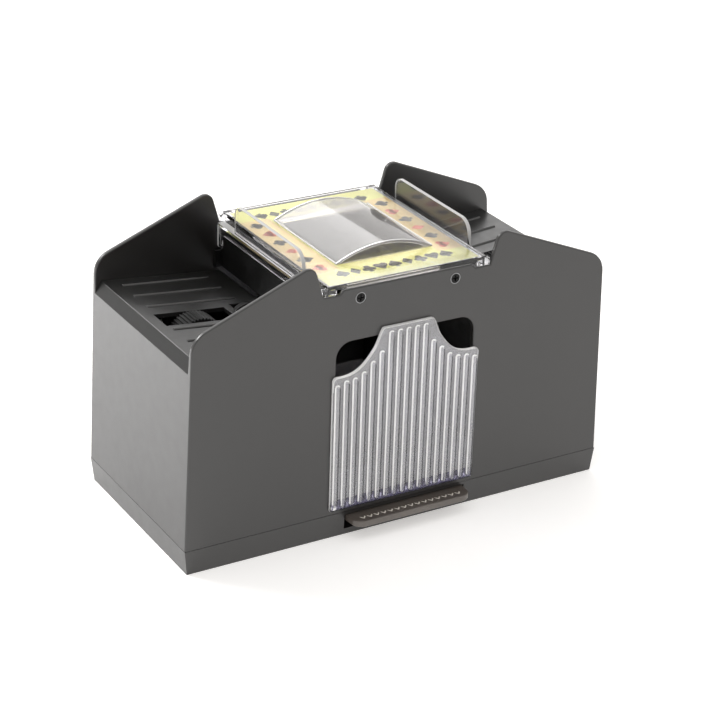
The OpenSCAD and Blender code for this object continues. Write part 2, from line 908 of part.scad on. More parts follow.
// Tyre with a sawtooth of ridges
module feed_tyre(side) {
    ridge = 0.9;
    color(rubber_black) on_side(side) difference() {
        translate([feed_c.x, 0, feed_c.y]) across(wheel_band[0], wheel_band[1]) polygon([
            for (k = [0:tyre_ridges - 1], e = [0, 1])
                let (a = (k + e * 0.5) * 360 / tyre_ridges) (feed_r - ridge * e) * [cos(a), sin(a)]
        ]);
        rod(feed_c, hub_r, wheel_band[0] - eps, wheel_band[1] + eps);
    }
}

module exit_roller(side) {
    groove_ys = [-5.5, -1.5, 2.5];
    groove = [0.5, 0.8];
    color(rubber_black) on_side(side) difference() {
        rod(exit_c, exit_r, roller_band[0], roller_band[1]);
        rod(exit_c, shaft_r, roller_band[0] - eps, roller_band[1] + eps);
        for (y = groove_ys) difference() {
            rod(exit_c, exit_r + eps, y - groove[0], y + groove[0]);
            rod(exit_c, exit_r - groove[1], y - eps, y + eps);
        }
    }
}

// ---- Batteries and wiring ---------------------------------------------------

module cell() {
    cylinder(r = cell_d / 2, h = cell_l - nub[1]);
    cylinder(r = nub[0], h = cell_l);
}

plate_t = 0.4;
spring_gap = 0.2;

module cells(side) {
    color("goldenrod") on_side(side) {
        translate([tub_x[0] + plate_t + spring_gap + cell_l, -cell_y, cell_z]) rotate([0, -90, 0]) cell();
        translate([tub_x[1] - plate_t - spring_gap - cell_l, cell_y, cell_z]) rotate([0, 90, 0]) cell();
    }
}

// Contact strips on both end walls of the tub, with conical springs for the flat ends
module contacts(side) {
    spring_l = tub_x[1] - tub_x[0] - 2 * plate_t - spring_gap - cell_l;
    spring_r = [7, 4];
    spring_t = 0.7;
    strip_y = [4, tub_y - 4];
    strip_z = [7, 26];
    strap = [3, 2.5, 21.3, 21.7];
    module cone() {
        difference() {
            cylinder(r1 = spring_r[0], r2 = spring_r[1], h = spring_l);
            translate([0, 0, -0.1])
                cylinder(r1 = spring_r[0] - spring_t, r2 = spring_r[1] - spring_t, h = spring_l + 0.2);
        }
    }
    color(steel_grey) on_side(side) {
        block([tub_x[1] - plate_t, -strip_y[1], strip_z[0]], [tub_x[1], strip_y[1], strip_z[1]]);
        translate([tub_x[1] - plate_t, -cell_y, cell_z]) rotate([0, -90, 0]) cone();
        front_and_back() {
            block([tub_x[0], strip_y[0], strip_z[0]], [tub_x[0] + plate_t, strip_y[1], strip_z[1]]);
            block([tub_x[0] - strap[0], cell_y - strap[1], strap[2]],
                [tub_x[0] + plate_t, cell_y + strap[1], strap[3]]);
        }
        translate([tub_x[0] + plate_t, cell_y, cell_z]) rotate([0, 90, 0]) cone();
    }
}

module battery_door(side) {
    grip_xs = [92:3:101];
    grip = [1.2, 12, 0.6];
    hole_r = 1.25;
    head_pocket = [2.3, 1.2];
    color(dark_abs) on_side(side) difference() {
        union() {
            block([tub_x[0] - tub_t, -tub_y - tub_t, door_z[0]],
                [tub_x[1] + tub_t, tub_y + tub_t, door_z[1]]);
            block([door_ear[0], -door_ear[1], door_z[0]], [tub_x[0], door_ear[1], door_z[1]]);
        }
        for (x = grip_xs) block([x, -grip[1], 0], [x + grip[0], grip[1], door_z[0] + grip[2]]);
        translate([door_screw_x, 0, -eps]) cylinder(r = hole_r, h = door_z[1] + 2 * eps);
        translate([door_screw_x, 0, -eps]) cylinder(r = head_pocket[0], h = eps + door_z[0] + head_pocket[1]);
    }
}

// Tube through a list of points, with sides corners round each point
module tube(points, r, sides = 8) {
    n = len(points);
    ways = [for (i = [0:n - 1]) unit(points[min(n - 1, i + 1)] - points[max(0, i - 1)])];
    ring = [for (i = [0:n - 1])
        let (
            w = ways[i],
            u = unit(cross(w, abs(w.z) > 0.9 ? [1, 0, 0] : [0, 0, 1])),
            v = cross(w, u)
        )
        for (k = [0:sides - 1]) points[i] + r * (u * cos(k * 360 / sides) + v * sin(k * 360 / sides))
    ];
    side_faces = [for (i = [0:n - 2], k = [0:sides - 1])
        let (a = i * sides, b = a + sides, q = (k + 1) % sides)
        each [[a + k, a + q, b + q], [a + k, b + q, b + k]]];
    ends = [[for (k = [sides - 1:-1:0]) k], [for (k = [0:sides - 1]) (n - 1) * sides + k]];
    polyhedron(points = ring, faces = concat(side_faces, ends));
}

// Smooth way through the corners of a route, as a Catmull-Rom curve
function smooth(p, steps = 4) =
    let (n = len(p))
    concat([for (i = [0:n - 2], s = [0:steps - 1])
        let (
            t = s / steps,
            a = p[max(0, i - 1)],
            b = p[i],
            c = p[i + 1],
            d = p[min(n - 1, i + 2)]
        )
        0.5 * (2 * b + (c - a) * t + (2 * a - 5 * b + 4 * c - d) * t ^ 2 + (3 * b - a - 3 * c + d) * t ^ 3)
    ], [p[n - 1]]);

// Leads from the contact tabs to the switch, and from the tabs up to the motors
module wiring() {
    wire_r = 0.6;
    tab_x = tub_x[0] - 3.05 - wire_r;
    switch_lead = [[tab_x, -14, 21], [tab_x, -14, 14], [40.2, -14, 8], [34, -13, 3.8], [20, -13, 3.6],
        [8, -16, 3.6], [4.2, -24, 3.6], [3.65, -28, 3.6]];
    motor_lead = [[tab_x, 14, 22], [tab_x, 14, 34], [40.5, 2, 48], [44, -21.5, 54], [55, -22.5, 60],
        [60, -22, 64], [60, -20.5, 64]];
    color("firebrick") both_sides() {
        tube(smooth(switch_lead), wire_r);
        tube(smooth(motor_lead), wire_r);
    }
}

// ---- Screws ----------------------------------------------------------------

// Cross-head screw with its head at the origin and its shank along +Z
module screw(head, shank, length) {
    slot = [0.7, 0.8, 1.2];
    difference() {
        union() {
            cylinder(r1 = head, r2 = shank, h = head_h);
            cylinder(r = shank, h = length);
        }
        for (a = [0, 90]) rotate([0, 0, a])
            translate([-head * slot[2] / 2, -slot[0] / 2, -eps])
                cube([head * slot[2], slot[0], eps + slot[1]]);
    }
}

module case_screws() {
    color(black_abs) both_sides() front_and_back()
        translate([screw_x, half_w - head_gap, screw_z]) rotate([90, 0, 0])
            screw(head_r - head_gap, shank_r, 6);
}

module base_screws() {
    color(steel_grey) both_sides() front_and_back()
        translate([boss.x, boss.y, 1]) screw(head_r, shank_r, 20);
}

module door_screws() {
    color(steel_grey) both_sides()
        translate([door_screw_x, 0, door_z[0] + head_gap]) screw(2.2, 1, 7);
}

module motor_screws() {
    pan = [1.9, 1];
    thread_l = 5;
    color(steel_grey) both_sides() for (dx = [-mount_x, mount_x])
        translate([motor_c.x + dx, rear_plate[1] + pan[1], motor_c.y]) rotate([90, 0, 0]) {
            cylinder(r = pan[0], h = pan[1]);
            cylinder(r = mount_r, h = thread_l);
        }
}

// ---- Assembly --------------------------------------------------------------

housing();
base_shell();
tray(-1);  // left_tray
tray(1);  // right_tray
gate_frame();
card_chute();
card_drawer();
clear_cover();
window_dome();
label_card();
press_bar();
pivot_pin();
bar_springs();
push_switch();
switch_plunger();
bracket(-1, front_plate, false);  // left_front_bracket
bracket(1, front_plate, false);  // right_front_bracket
bracket(-1, rear_plate, true);  // left_rear_bracket
bracket(1, rear_plate, true);  // right_rear_bracket
bushes(-1);  // left_bushes
bushes(1);  // right_bushes
motor_can(-1);  // left_motor_can
motor_can(1);  // right_motor_can
motor_cap(-1);  // left_motor_cap
motor_cap(1);  // right_motor_cap
motor_shaft(-1);  // left_motor_shaft
motor_shaft(1);  // right_motor_shaft
pinion(-1);  // left_pinion
pinion(1);  // right_pinion
gear_pin(-1);  // left_gear_pin
gear_pin(1);  // right_gear_pin
compound_gear(-1);  // left_compound_gear
compound_gear(1);  // right_compound_gear
roller_shaft(-1, feed_c);  // left_feed_shaft
roller_shaft(1, feed_c);  // right_feed_shaft
roller_gear(-1, feed_c, feed_teeth, feed_phase);  // left_feed_gear
roller_gear(1, feed_c, feed_teeth, feed_phase);  // right_feed_gear
wheel_hub(-1);  // left_wheel_hub
wheel_hub(1);  // right_wheel_hub
feed_tyre(-1);  // left_feed_tyre
feed_tyre(1);  // right_feed_tyre
roller_shaft(-1, exit_c);  // left_exit_shaft
roller_shaft(1, exit_c);  // right_exit_shaft
roller_gear(-1, exit_c, exit_teeth, exit_phase);  // left_exit_gear
roller_gear(1, exit_c, exit_teeth, exit_phase);  // right_exit_gear
exit_roller(-1);  // left_exit_roller
exit_roller(1);  // right_exit_roller
cells(-1);  // left_cells
cells(1);  // right_cells
contacts(-1);  // left_contacts
contacts(1);  // right_contacts
battery_door(-1);  // left_battery_door
battery_door(1);  // right_battery_door
motor_screws();
case_screws();
base_screws();
door_screws();
wiring();
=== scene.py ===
import json
import math

import bmesh
import bpy
from bmesh.types import BMEdge, BMFace, BMVert
from mathutils import Matrix, Vector


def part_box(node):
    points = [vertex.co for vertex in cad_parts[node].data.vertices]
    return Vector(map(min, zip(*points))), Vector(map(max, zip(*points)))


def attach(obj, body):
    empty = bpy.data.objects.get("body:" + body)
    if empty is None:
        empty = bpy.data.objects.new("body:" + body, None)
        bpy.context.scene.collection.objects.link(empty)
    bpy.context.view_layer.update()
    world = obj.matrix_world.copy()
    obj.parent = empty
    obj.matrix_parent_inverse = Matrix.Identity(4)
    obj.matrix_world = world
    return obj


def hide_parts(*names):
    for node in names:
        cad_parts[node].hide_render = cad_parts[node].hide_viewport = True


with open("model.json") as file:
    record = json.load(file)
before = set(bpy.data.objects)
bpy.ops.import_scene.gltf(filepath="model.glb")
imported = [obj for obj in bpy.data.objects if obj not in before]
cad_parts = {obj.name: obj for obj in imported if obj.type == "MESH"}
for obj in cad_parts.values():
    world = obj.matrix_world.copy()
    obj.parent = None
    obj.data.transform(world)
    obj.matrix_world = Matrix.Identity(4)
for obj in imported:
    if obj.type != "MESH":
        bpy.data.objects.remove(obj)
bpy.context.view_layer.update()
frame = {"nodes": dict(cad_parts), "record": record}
MM = 0.001

# ---- Studio ------------------------------------------------------------------
# A white table in a pale room, with three soft panels: a narrow one that lights the table behind the
# machine, a wide one further back that makes the gloss on the window, and a weak one overhead.

FOCAL = 110.4
SHIFT = -0.0405
EYE = Vector((-0.4718, -0.7986, 0.4971))
AZIMUTH, ELEVATION, ROLL = (math.radians(a) for a in (-31.744, 25.187, 2.212))

back = Vector((
    math.sin(AZIMUTH) * math.cos(ELEVATION),
    -math.cos(AZIMUTH) * math.cos(ELEVATION),
    math.sin(ELEVATION),
))
level = Vector((0, 0, 1)).cross(back).normalized()
upright = back.cross(level)
right = level * math.cos(ROLL) + upright * math.sin(ROLL)
up = upright * math.cos(ROLL) - level * math.sin(ROLL)
camera = bpy.data.objects.new("camera", bpy.data.cameras.new("camera"))
camera.data.lens = FOCAL
camera.data.shift_x = SHIFT
camera.matrix_world = Matrix((
    (right.x, up.x, back.x, EYE.x),
    (right.y, up.y, back.y, EYE.y),
    (right.z, up.z, back.z, EYE.z),
    (0, 0, 0, 1),
))
bpy.context.scene.collection.objects.link(camera)
bpy.context.scene.camera = camera
bpy.context.scene.view_settings.view_transform = "Standard"


def panel(name, place, aim, width, height, radiance, spread=180):
    """A soft box: a flat lamp whose power gives its face that radiance."""
    lamp = bpy.data.lights.new(name, "AREA")
    lamp.shape = "RECTANGLE"
    lamp.size, lamp.size_y = width, height
    lamp.energy = radiance * math.pi * width * height
    lamp.spread = math.radians(spread)
    box = bpy.data.objects.new(name, lamp)
    box.location = place
    box.visible_camera = False
    box.rotation_mode = "QUATERNION"
    box.rotation_quaternion = (Vector(aim) - Vector(place)).to_track_quat("-Z", "Y")
    bpy.context.scene.collection.objects.link(box)


panel("floor_panel", (-0.75, 0.95, 0.8), (-0.45, 0.45, 0), 0.6, 0.5, 4.5, spread=55)
panel("back_panel", (0.35, 1.3, 1.0), (0, 0, 0.12), 1.3, 0.5, 1.7)
panel("top_panel", (-0.35, -0.2, 1.3), (0, 0, 0.1), 0.7, 0.7, 0.5)

WARM_WHITE = (1, 0.982, 0.962, 1)
room = bpy.data.worlds.new("room")
room.use_nodes = True
air = room.node_tree.nodes["Background"]
air.inputs["Color"].default_value = WARM_WHITE
air.inputs["Strength"].default_value = 0.88
bpy.context.scene.world = room


def new_material(name):
    """A material, with its node tree and its shader."""
    material = bpy.data.materials.new(name)
    material.use_nodes = True
    return material, material.node_tree, material.node_tree.nodes["Principled BSDF"]


table_mesh = bpy.data.meshes.new("table")
bm = bmesh.new()
bmesh.ops.create_grid(bm, x_segments=1, y_segments=1, size=4)
bm.to_mesh(table_mesh)
bm.free()
table = bpy.data.objects.new("table", table_mesh)
bpy.context.scene.collection.objects.link(table)
table_white, _, shader = new_material("table_white")
shader.inputs["Base Color"].default_value = (0.86, 0.86, 0.86, 1)
shader.inputs["Roughness"].default_value = 0.6
shader.inputs["Emission Color"].default_value = WARM_WHITE
shader.inputs["Emission Strength"].default_value = 0.4
table_mesh.materials.append(table_white)

# ---- Housing -----------------------------------------------------------------
# The upper case: front, back and end walls moulded in one piece of charcoal ABS. Its surface has the
# fine grain of an eroded mould, and the rim of its front and back walls is slightly rounded. It screws to
# the base from below.


def noise(tree, coords, scale, detail, stretch=(1, 1, 1)):
    """A noise texture in millimetres, stretched along the axes."""
    mapping = tree.nodes.new("ShaderNodeMapping")
    mapping.inputs["Scale"].default_value = [1 / MM / s for s in stretch]
    texture = tree.nodes.new("ShaderNodeTexNoise")
    texture.inputs["Scale"].default_value = scale
    texture.inputs["Detail"].default_value = detail
    tree.links.new(coords, mapping.inputs["Vector"])
    tree.links.new(mapping.outputs["Vector"], texture.inputs["Vector"])
    return texture.outputs["Fac"]


def ranged(tree, value, low, high, start=0.0, stop=1.0):
    """value from low..high carried to start..stop; the last two may be sockets."""
    node = tree.nodes.new("ShaderNodeMapRange")
    tree.links.new(value, node.inputs["Value"])
    node.inputs["From Min"].default_value = low
    node.inputs["From Max"].default_value = high
    for name, limit in (("To Min", start), ("To Max", stop)):
        if isinstance(limit, bpy.types.NodeSocket):
            tree.links.new(limit, node.inputs[name])
        else:
            node.inputs[name].default_value = limit
    return node.outputs["Result"]


def blended(tree, share, first, second):
    """first where share is 0 and second where it is 1, both colours or sockets."""
    node = tree.nodes.new("ShaderNodeMix")
    node.data_type = "RGBA"
    tree.links.new(share, node.inputs["Factor"])
    for name, colour in (("A", first), ("B", second)):
        socket = next(s for s in node.inputs if s.name == name and s.type == "RGBA")
        if isinstance(colour, bpy.types.NodeSocket):
            tree.links.new(colour, socket)
        else:
            socket.default_value = (*colour, 1)
    return next(s for s in node.outputs if s.type == "RGBA")


def sockets(tree, ins, outs):
    """Gives a node group its inputs, as (name, kind, value), and its outputs, as (name, kind)."""
    for name, kind, value in ins:
        made = tree.interface.new_socket(name, in_out="INPUT", socket_type="NodeSocket" + kind)
        made.default_value = value
    for name, kind in outs:
        tree.interface.new_socket(name, in_out="OUTPUT", socket_type="NodeSocket" + kind)
    return tree.nodes.new("NodeGroupInput").outputs, tree.nodes.new("NodeGroupOutput").inputs


mould_skin = bpy.data.node_groups.new("mould_skin", "ShaderNodeTree")
given, made = sockets(
    mould_skin,
    [("Deep", "Color", (0, 0, 0, 1)), ("Pale", "Color", (1, 1, 1, 1)), ("Smooth", "Float", 0.35),
        ("Rough", "Float", 0.45), ("Grain", "Float", 0.2)],
    [("Color", "Color"), ("Roughness", "Float"), ("Normal", "Vector")],
)
place = mould_skin.nodes.new("ShaderNodeTexCoord").outputs["Object"]
flow = noise(mould_skin, place, 0.03, 3, stretch=(1, 1, 2.5))
handling = noise(mould_skin, place, 0.16, 5)
grain = noise(mould_skin, place, 2.4, 2)
clouded = ranged(mould_skin, flow, 0.3, 0.7)
mould_skin.links.new(blended(mould_skin, clouded, given["Deep"], given["Pale"]), made["Color"])
gloss = ranged(mould_skin, handling, 0.3, 0.7, given["Smooth"], given["Rough"])
mould_skin.links.new(gloss, made["Roughness"])
bump = mould_skin.nodes.new("ShaderNodeBump")
bump.inputs["Distance"].default_value = 0.02 * MM
mould_skin.links.new(given["Grain"], bump.inputs["Strength"])
mould_skin.links.new(grain, bump.inputs["Height"])
mould_skin.links.new(bump.outputs["Normal"], made["Normal"])


def moulded(name, deep, pale, smooth, rough, grain_depth=0.5, ior=1.75):
    """Injection-moulded plastic: two close tones, an uneven gloss and a fine grain."""
    material, tree, shader = new_material(name)
    skin = tree.nodes.new("ShaderNodeGroup")
    skin.node_tree = mould_skin
    skin.inputs["Deep"].default_value = (*deep, 1)
    skin.inputs["Pale"].default_value = (*pale, 1)
    skin.inputs["Smooth"].default_value = smooth
    skin.inputs["Rough"].default_value = rough
    skin.inputs["Grain"].default_value = grain_depth
    shader.inputs["IOR"].default_value = ior
    tree.links.new(skin.outputs["Color"], shader.inputs["Base Color"])
    tree.links.new(skin.outputs["Roughness"], shader.inputs["Roughness"])
    tree.links.new(skin.outputs["Normal"], shader.inputs["Normal"])
    return material


def finished(bm, name, body, material, crease=35, smooth=True):
    """Turns a bmesh in millimetres into a piece on a body."""
    bmesh.ops.transform(bm, matrix=Matrix.Scale(MM, 4), verts=bm.verts)
    mesh = bpy.data.meshes.new(name)
    bm.to_mesh(mesh)
    bm.free()
    mesh.materials.append(material)
    for face in mesh.polygons:
        face.use_smooth = smooth
    mesh.set_sharp_from_angle(angle=math.radians(crease))
    piece = bpy.data.objects.new(name, mesh)
    bpy.context.scene.collection.objects.link(piece)
    if smooth:
        piece.modifiers.new("flat_faces", "WEIGHTED_NORMAL").keep_sharp = True
    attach(piece, body)
    return piece


def from_cad(node, finest=0.15, whole=True):
    """The closed shape of a CAD node in millimetres without short edges, its flat faces made whole."""
    bm = bmesh.new()
    bm.from_mesh(frame["nodes"][node].data)
    bmesh.ops.transform(bm, matrix=Matrix.Scale(1 / MM, 4), verts=bm.verts)
    bmesh.ops.remove_doubles(bm, verts=bm.verts, dist=0.004)
    bmesh.ops.dissolve_degenerate(bm, dist=finest, edges=bm.edges)
    if whole:
        bmesh.ops.dissolve_limit(bm, angle_limit=math.radians(0.6), verts=bm.verts, edges=bm.edges)
    bm.normal_update()
    return bm


def rounded(bm, width, steps, chosen, crease=30):
    """Rounds every outer edge whose middle and two faces chosen(middle, faces) accepts."""
    edges = [
        edge for edge in bm.edges
        if len(edge.link_faces) == 2
        and edge.calc_face_angle_signed(0) > math.radians(crease)
        and chosen((edge.verts[0].co + edge.verts[1].co) / 2, edge.link_faces)
    ]
    bmesh.ops.bevel(
        bm, geom=edges, offset=width, segments=steps, profile=0.5, affect="EDGES", material=-1,
        clamp_overlap=False, loop_slide=False,
    )


charcoal = moulded("charcoal_abs", (0.010, 0.0095, 0.009), (0.013, 0.012, 0.0115), 0.30, 0.35)
WALL_OUT, WALL_IN, NEAR = 50.0, 47.6, 0.03
TRAY_TOP, FOOT_Z = 96.2, 12.5
HOLES_X, HOLES_LOW, HOLES_TOP = 28, 113, 120


def on_lip(middle, faces):
    """The rim of the front and back walls and the corners below it, but no screw hole and no foot."""
    at_hole = abs(middle.x) < HOLES_X and HOLES_LOW < middle.z < HOLES_TOP
    if at_hole or middle.z < FOOT_Z:
        return False
    if abs(abs(middle.y) - WALL_OUT) < NEAR:
        return True
    across = any(abs(v.co.y) > WALL_OUT - 0.1 for face in faces for v in face.verts)
    return abs(abs(middle.y) - WALL_IN) < NEAR and middle.z > TRAY_TOP and across


bm = from_cad("housing")
rounded(bm, 0.7, 3, on_lip)
housing = finished(bm, "housing_moulding", "case", charcoal)
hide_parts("housing")

# ---- Base --------------------------------------------------------------------
# The shallow lower tray of the case, in the same charcoal ABS, with the battery tubs moulded in. Its
# two battery doors are separate flat mouldings, each held by one screw.

base = finished(from_cad("base_shell"), "base_moulding", "case", charcoal)
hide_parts("base_shell")
for side in ("left", "right"):
    door = finished(
        from_cad(f"{side}_battery_door"), f"{side}_battery_cover", "case", charcoal
    )
    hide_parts(f"{side}_battery_door")

# ---- Card trays --------------------------------------------------------------
# A sloping ribbed platform on each side, moulded in charcoal ABS a little darker and smoother than
# the case, with an opening for the feed wheel and one for the exit roller. Its end faces get a darker,
# less glossy copy of the same plastic: painted shade.

tray_black = moulded("tray_abs", (0.010, 0.010, 0.010), (0.014, 0.014, 0.0135), 0.28, 0.38)
shaded_lip_black = moulded("tray_lip_shaded_abs", (0.008, 0.008, 0.008), (0.011, 0.011, 0.011), 0.3, 0.4, ior=1.48)
SLOPE_END, LIP_X = 101, 102
for side in ("left", "right"):
    bm = from_cad(f"{side}_tray", finest=0.02)
    rounded(bm, 0.25, 2, lambda middle, faces: abs(middle.x) > SLOPE_END)
    for face in bm.faces:
        on_end = abs(face.normal.x) > 0.7 and abs(face.calc_center_median().x) > LIP_X
        face.material_index = int(on_end)
    tray = finished(bm, f"{side}_card_tray", "case", tray_black)
    tray.data.materials.append(shaded_lip_black)
    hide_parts(f"{side}_tray")

# ---- Gate frame and card chute -----------------------------------------------
# Matt black mouldings inside the throat: the two gates that let one card pass at a time, and the
# channel that the cards fall through into the drawer.

matt_black = moulded("matt_black_abs", (0.003, 0.003, 0.003), (0.005, 0.005, 0.005), 0.4, 0.55, ior=1.4)
GATE_TOP = 104
bm = from_cad("gate_frame")
rounded(bm, 0.3, 2, lambda middle, faces: middle.z > GATE_TOP)
gates = finished(bm, "gate_moulding", "case", matt_black)
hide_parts("gate_frame")
dull_black = moulded("dull_black_abs", (0.002, 0.002, 0.002), (0.004, 0.004, 0.004), 0.75, 0.9, ior=1.3)
chute = finished(from_cad("card_chute"), "chute_moulding", "case", dull_black)
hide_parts("card_chute")

# ---- Card drawer -------------------------------------------------------------
# A clear polystyrene drawer in one moulding: a flat front plate with a finger tab, a row of upright
# half-round ribs and a crimped foot, and an open-topped body behind it that the cards drop into.


def clear(name, tint, ior, smooth, rough, ripple, milk=0.0):
    """Clear moulded plastic, slightly rippled and smudged, that lets lamplight through to what is behind."""
    material, tree, shader = new_material(name)
    shader.inputs["Base Color"].default_value = (*tint, 1)
    shader.inputs["Transmission Weight"].default_value = 1 - milk
    shader.inputs["IOR"].default_value = ior
    coords = tree.nodes.new("ShaderNodeTexCoord").outputs["Object"]
    smudge = noise(tree, coords, 0.09, 4)
    tree.links.new(ranged(tree, smudge, 0.35, 0.7, smooth, rough), shader.inputs["Roughness"])
    wave = tree.nodes.new("ShaderNodeBump")
    wave.inputs["Strength"].default_value = ripple
    wave.inputs["Distance"].default_value = 0.05 * MM
    tree.links.new(noise(tree, coords, 0.12, 2), wave.inputs["Height"])
    tree.links.new(wave.outputs["Normal"], shader.inputs["Normal"])
    through = tree.nodes.new("ShaderNodeBsdfTransparent")
    through.inputs["Color"].default_value = (*tint, 1)
    either = tree.nodes.new("ShaderNodeMixShader")
    path = tree.nodes.new("ShaderNodeLightPath")
    tree.links.new(path.outputs["Is Shadow Ray"], either.inputs["Fac"])
    tree.links.new(shader.outputs["BSDF"], either.inputs[1])
    tree.links.new(through.outputs["BSDF"], either.inputs[2])
    tree.links.new(either.outputs["Shader"], tree.nodes["Material Output"].inputs["Surface"])
    return material


clear_drawer = clear("clear_styrene", (0.93, 0.93, 0.96), 1.57, 0.03, 0.08, 0.25, milk=0.22)

drawer_low, drawer_high = (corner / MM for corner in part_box("card_drawer"))
RIB_OUT, PLATE_T = 0.9, 1.2
FRONT_Y = drawer_low.y + RIB_OUT
BACK_Y = FRONT_Y + PLATE_T
HALF_FRONT = drawer_high.x
TAB_X, FLANK_X, SHOULDER_X = 13.8, 16.3, 35.3
SHOULDER_Z, FLANK_RISE, FLANK_BEND = 80.5, 11.6, 1.6
TAB_ROUND, CORNER_ROUND = 1.6, 1.5


def corner_fall(x, end, r):
    """How far a round corner of radius r that ends at x = end has fallen at x."""
    reach = max(0.0, x - (end - r)) / r
    return r * (1 - math.sqrt(max(0.0, 1 - reach * reach)))


def front_top(x):
    """Height of the top edge of the drawer front at x: tab, hollow flank, shoulder, with soft corners."""
    x = abs(x)
    if x <= TAB_X:
        return drawer_high.z - corner_fall(x, TAB_X, TAB_ROUND)
    if x <= FLANK_X:
        top = drawer_high.z - TAB_ROUND
        return top + (SHOULDER_Z + FLANK_RISE - top) * (x - TAB_X) / (FLANK_X - TAB_X)
    if x <= SHOULDER_X:
        share = math.sin(math.pi / 2 * (x - FLANK_X) / (SHOULDER_X - FLANK_X))
        return SHOULDER_Z + FLANK_RISE * (1 - share) ** FLANK_BEND
    return SHOULDER_Z - corner_fall(x, HALF_FRONT, CORNER_ROUND)


def only(kind, parts):
    """The vertices, edges or faces among the parts that an operator made."""
    return [part for part in parts if isinstance(part, kind)]


COLUMNS, ROWS = 76, 12
RIM, RIM_START = 0.6, 2.0
# A milky white styrene, for the gate bead, and as painted highlights on the ribs and the plate's rim.
milky_white_and_painted_highlight = clear("milky_styrene_and_painted_highlight", (0.98, 0.98, 0.98), 1.57, 0.05, 0.12, 0.1, milk=0.85)
bm = bmesh.new()
bmesh.ops.create_grid(bm, x_segments=COLUMNS, y_segments=ROWS, size=1)
for v in bm.verts:
    x = v.co.x * HALF_FRONT
    top = front_top(x)
    v.co = (x, FRONT_Y, top - (top - drawer_low.z) * (1 - v.co.y) / 2)
rim = bmesh.ops.inset_region(
    bm, faces=bm.faces[:], thickness=RIM, use_boundary=True, use_even_offset=True
)
# Rim faces above the foot get the milky white, a painted highlight round the plate's edge.
for face in rim["faces"]:
    face.material_index = int(face.calc_center_median().z > drawer_low.z + RIM_START)
grown = bmesh.ops.extrude_face_region(bm, geom=bm.faces[:])["geom"]
for v in only(BMVert, grown):
    v.co.y = BACK_Y
for face in only(BMFace, grown):
    face.material_index = 0
bmesh.ops.recalc_face_normals(bm, faces=bm.faces)
rounded(bm, 0.3, 3, lambda middle, faces: True, crease=60)
drawer_front = finished(bm, "drawer_front", "drawer", clear_drawer, crease=50)
drawer_front.data.materials.append(milky_white_and_painted_highlight)
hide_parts("card_drawer")

# The ribs are clear capsules half sunk in the plate. A thin dark capsule on the right of each rib is
# painted shade for the dark inside of the case seen through it, and a milky white strip on its left,
# which curls round its top end, is a painted highlight.
RIBS = 17
RIB_R, RIB_DEPTH = 1.3, 0.6
RIB_PITCH = 71 / (RIBS - 1)
RIB_FOOT = drawer_low.z + 2.2
RIB_CLEAR, TAB_REACH, SHOULDER_REACH = 1.8, 3.6, 2.2
rib_places = [(i - (RIBS - 1) / 2) * RIB_PITCH for i in range(RIBS)]


def rib_top(x):
    """Height of the round top end of the rib at x, clear of the plate's edge on both its sides."""
    reach = TAB_REACH if abs(x) < FLANK_X else SHOULDER_REACH
    return min(front_top(x - reach), front_top(x + reach)) - RIB_CLEAR


def capsules(name, material, radius, depth, gap, shift=0.0, sunk=0.0, around=16, rings=10):
    """An upright capsule at each rib, shifted from its line, whose upper centre is gap below its top."""
    bm = bmesh.new()
    for x in rib_places:
        ball = bmesh.ops.create_uvsphere(bm, u_segments=around, v_segments=rings, radius=radius)["verts"]
        stretch = rib_top(x) - gap - RIB_FOOT
        for v in ball:
            lift = RIB_FOOT + (stretch if v.co.z > -0.01 else 0)
            v.co = (x + shift + v.co.x, FRONT_Y - sunk + v.co.y * depth, v.co.z + lift)
    bmesh.ops.recalc_face_normals(bm, faces=bm.faces)
    finished(bm, name, "drawer", material)


capsules("drawer_ribs", clear_drawer, RIB_R, RIB_DEPTH, RIB_R)

# Each rib gets a milky white strip up its left flank and round its top end: a painted highlight.
RIB_GLINT_R, RIB_GLINT_DEPTH, RIB_GLINT_BEND, RIB_GLINT_OUT = 0.42, 0.9, 0.95, 0.33
RIB_GLINT_TURN = math.radians(150)


def edges_at(verts):
    """Every edge that meets one of the vertices, once."""
    return list(dict.fromkeys(edge for v in verts for edge in v.link_edges))


bm = bmesh.new()
for x in rib_places:
    bend_z = rib_top(x) - RIB_R
    profile = bmesh.ops.create_circle(bm, segments=12, radius=RIB_GLINT_R)["verts"]
    for v in profile:
        v.co = (x - RIB_GLINT_BEND + v.co.x, FRONT_Y - RIB_GLINT_OUT - v.co.y * RIB_GLINT_DEPTH, RIB_FOOT)
    ring = edges_at(profile)
    bmesh.ops.edgenet_fill(bm, edges=ring)
    grown = bmesh.ops.extrude_edge_only(bm, edges=ring)["geom"]
    bmesh.ops.translate(bm, vec=(0, 0, bend_z - RIB_FOOT), verts=only(BMVert, grown))
    bent = bmesh.ops.spin(
        bm, geom=[edge for edge in only(BMEdge, grown) if edge.calc_length() < RIB_GLINT_R],
        cent=(x, 0, bend_z), axis=(0, 1, 0), angle=RIB_GLINT_TURN, steps=10,
    )["geom_last"]
    bmesh.ops.edgenet_fill(bm, edges=only(BMEdge, bent))
bmesh.ops.remove_doubles(bm, verts=bm.verts, dist=0.001)
bmesh.ops.recalc_face_normals(bm, faces=bm.faces)
finished(bm, "drawer_rib_painted_highlights", "drawer", milky_white_and_painted_highlight)

# A thin dark capsule right of each rib: painted shade for the dark inside of the case seen through it.
SHADE_LINE_R, SHADE_LINE_DEPTH, SHADE_LINE_GAP = 0.32, 0.5, 2.4
SHADE_LINE_SHIFT, SHADE_LINE_SUNK = 1.55, 0.02
painted_shade_dark = clear("painted_shade_styrene", (0.22, 0.22, 0.24), 1.57, 0.05, 0.12, 0.1, milk=0.1)
capsules("drawer_rib_painted_shade", painted_shade_dark, SHADE_LINE_R, SHADE_LINE_DEPTH, SHADE_LINE_GAP, SHADE_LINE_SHIFT, SHADE_LINE_SUNK, 10, 6)

